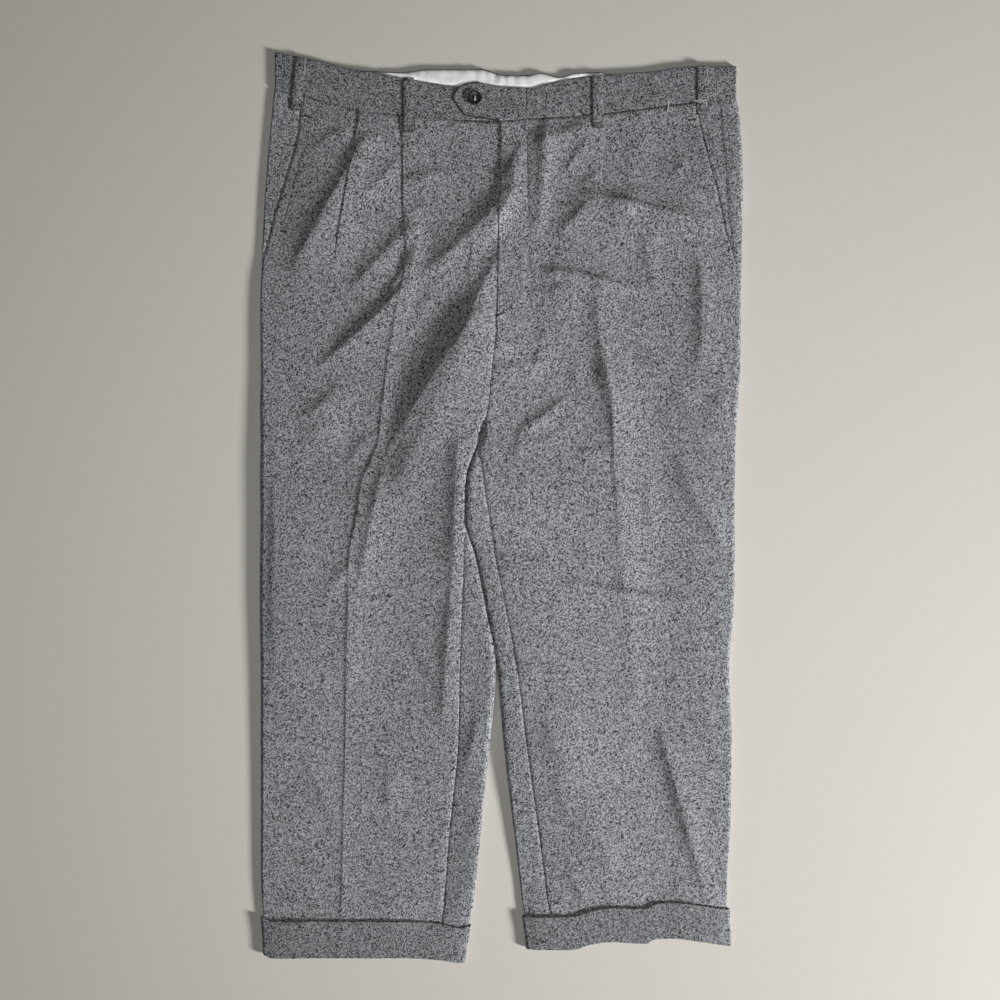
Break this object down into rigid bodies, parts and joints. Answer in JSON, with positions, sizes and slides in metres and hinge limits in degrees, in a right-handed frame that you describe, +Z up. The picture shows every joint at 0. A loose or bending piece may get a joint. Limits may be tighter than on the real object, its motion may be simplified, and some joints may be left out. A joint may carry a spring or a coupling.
{
  "type": "pleated dress trousers",
  "caption": "Pleated dress trousers laid flat, front up, with a buttoned waist tab, belt loops, slanted side pockets, pressed creases and turn-ups.",
  "frame": {"origin": "on the surface the trousers lie on, under the middle of their bounding box", "axes": "+Y towards the waist, +X towards the wearer's left leg, +Z up out of the front"},
  "size_m": [0.5158, 0.9736, 0.0175],
  "materials": {
    "suiting": "matt woven wool, mid grey with light and dark flecks",
    "lining": "smooth white lining cloth",
    "button": "satin charcoal, like horn"
  },
  "bodies": {
    "root": {"front_right": "suiting", "front_left": "suiting", "back_right": "suiting", "back_left": "suiting", "pocket_facing_right": "suiting", "pocket_facing_left": "suiting", "waistband_right": "suiting", "waistband_left": "suiting", "waist_tab": "suiting", "belt_loop_1": "suiting", "belt_loop_2": "suiting", "belt_loop_3": "suiting", "belt_loop_4": "suiting", "cuff_right": "suiting", "cuff_left": "suiting", "waistband_lining": "lining", "waist_button": "button"}
  },
  "joints": []
}
